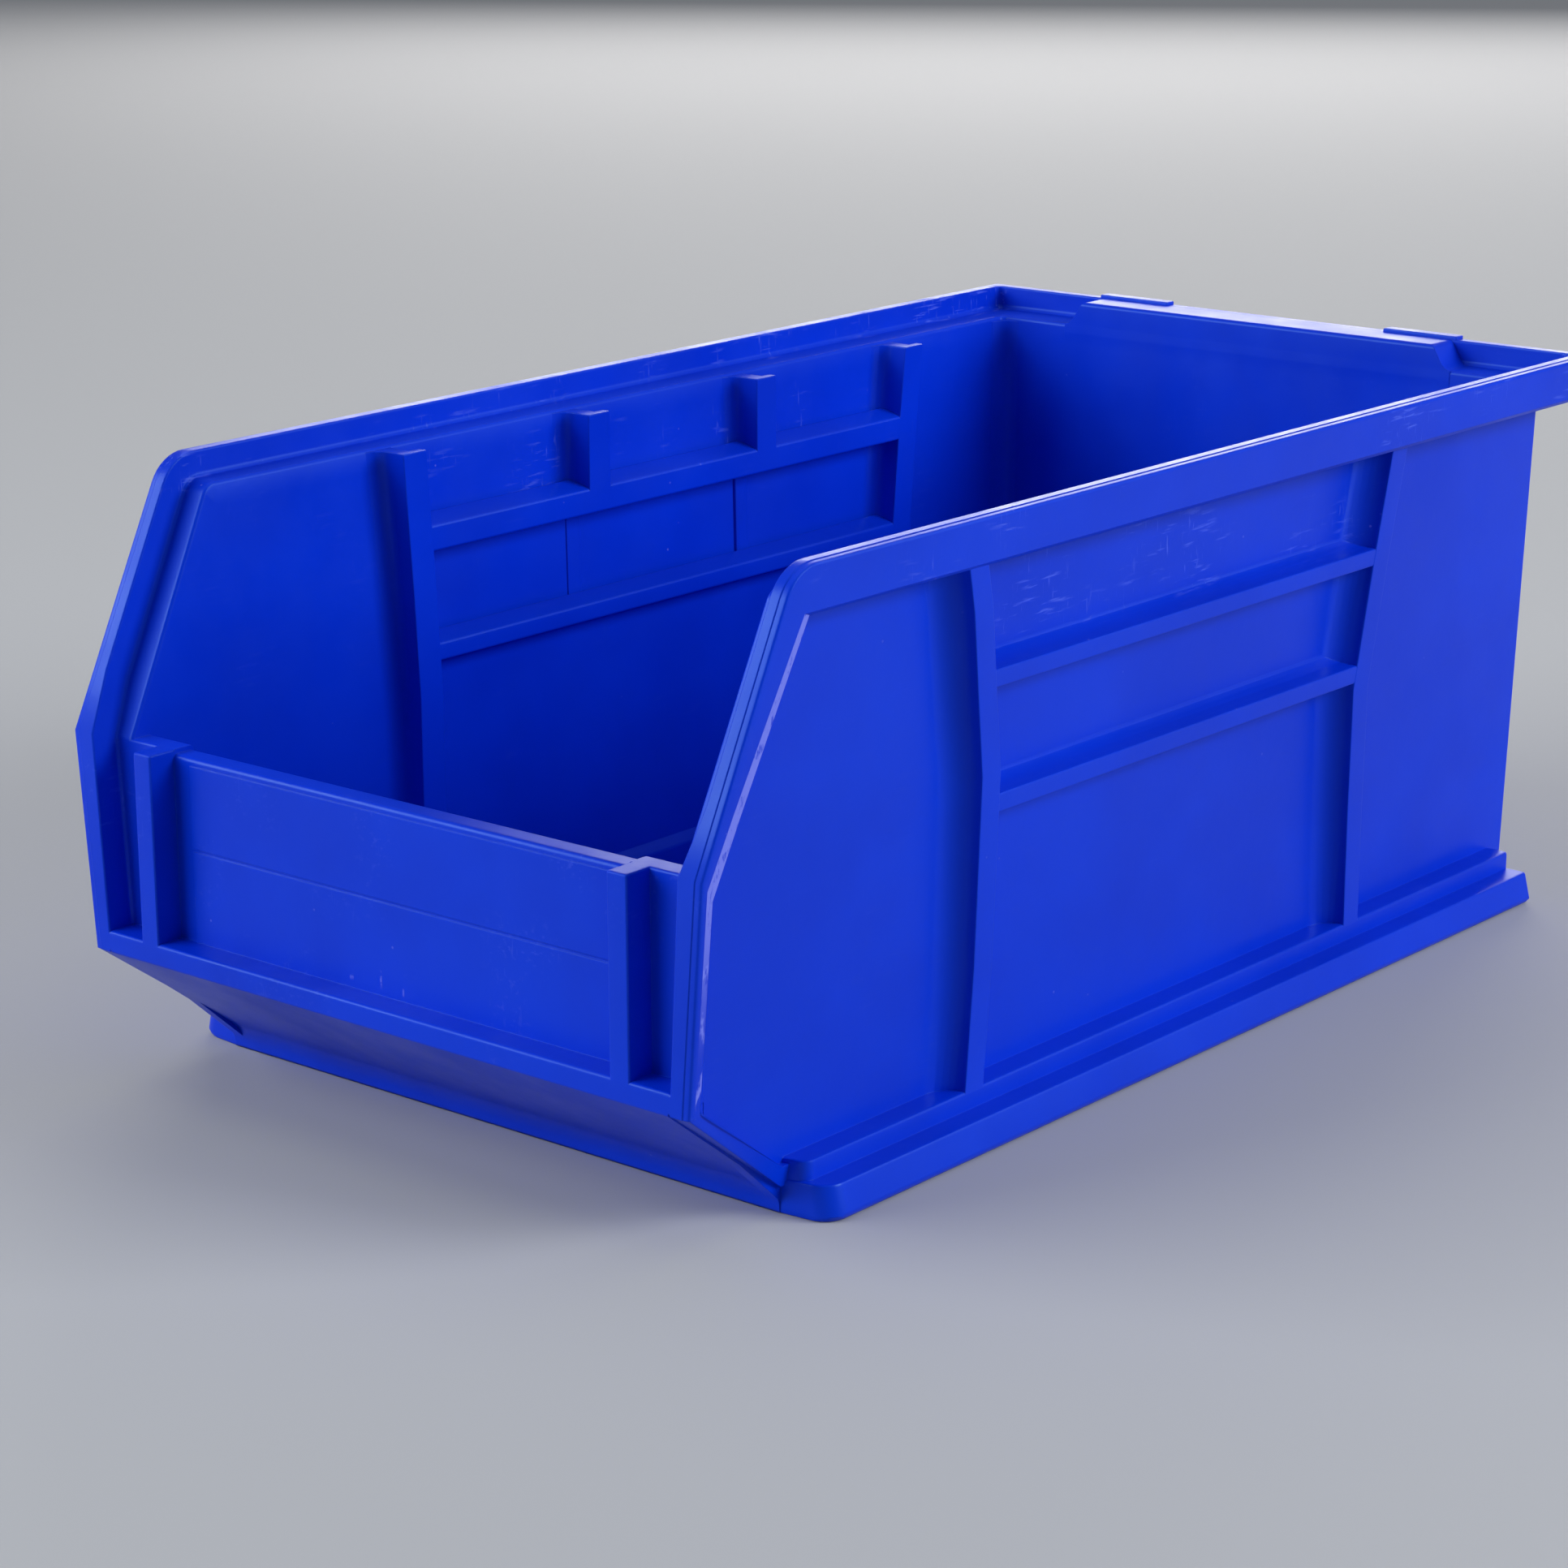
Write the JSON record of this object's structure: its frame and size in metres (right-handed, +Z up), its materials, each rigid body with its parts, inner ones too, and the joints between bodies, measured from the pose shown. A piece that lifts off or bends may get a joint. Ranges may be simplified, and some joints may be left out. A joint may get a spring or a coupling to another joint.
{
  "type": "stack and hang storage bin",
  "caption": "Open hopper-front plastic storage bin with a sunk stacking rim, hanging lip at the back, ribbed side walls, label panel and base rails.",
  "frame": {"origin": "middle of the footprint, on the floor plane under the base rails", "axes": "+Z up, -Y towards the open hopper front, +Y towards the hanging lip at the back, +X to the right seen from the front"},
  "size_m": [0.1038, 0.1872, 0.0764],
  "materials": {
    "bin_plastic": "satin moulded polypropylene, saturated blue"
  },
  "bodies": {
    "root": {"back_rim": "bin_plastic", "back_wall": "bin_plastic", "base_front_bar": "bin_plastic", "floor_panel": "bin_plastic", "front_ledge": "bin_plastic", "hanger_land": "bin_plastic", "label_panel": "bin_plastic", "left_box_rib": "bin_plastic", "left_front_flange": "bin_plastic", "left_hanger_tab": "bin_plastic", "left_inner_front_pillar": "bin_plastic", "left_inner_lower_rib": "bin_plastic", "left_inner_rear_pillar": "bin_plastic", "left_inner_short_rib_1": "bin_plastic", "left_inner_short_rib_2": "bin_plastic", "left_inner_upper_rib": "bin_plastic", "left_lower_rail": "bin_plastic", "left_outer_front_pillar": "bin_plastic", "left_outer_lower_rib": "bin_plastic", "left_outer_rear_pillar": "bin_plastic", "left_outer_upper_rib": "bin_plastic", "left_panel_pad": "bin_plastic", "left_rail_step": "bin_plastic", "left_side_rim": "bin_plastic", "left_side_wall": "bin_plastic", "left_slant_rim": "bin_plastic", "left_undercut_strip": "bin_plastic", "right_box_rib": "bin_plastic", "right_front_flange": "bin_plastic", "right_hanger_tab": "bin_plastic", "right_inner_front_pillar": "bin_plastic", "right_inner_lower_rib": "bin_plastic", "right_inner_rear_pillar": "bin_plastic", "right_inner_short_rib_1": "bin_plastic", "right_inner_short_rib_2": "bin_plastic", "right_inner_upper_rib": "bin_plastic", "right_lower_rail": "bin_plastic", "right_outer_front_pillar": "bin_plastic", "right_outer_lower_rib": "bin_plastic", "right_outer_rear_pillar": "bin_plastic", "right_outer_upper_rib": "bin_plastic", "right_panel_pad": "bin_plastic", "right_rail_step": "bin_plastic", "right_side_rim": "bin_plastic", "right_side_wall": "bin_plastic", "right_slant_rim": "bin_plastic", "right_undercut_strip": "bin_plastic", "underside_panel": "bin_plastic"}
  },
  "joints": []
}
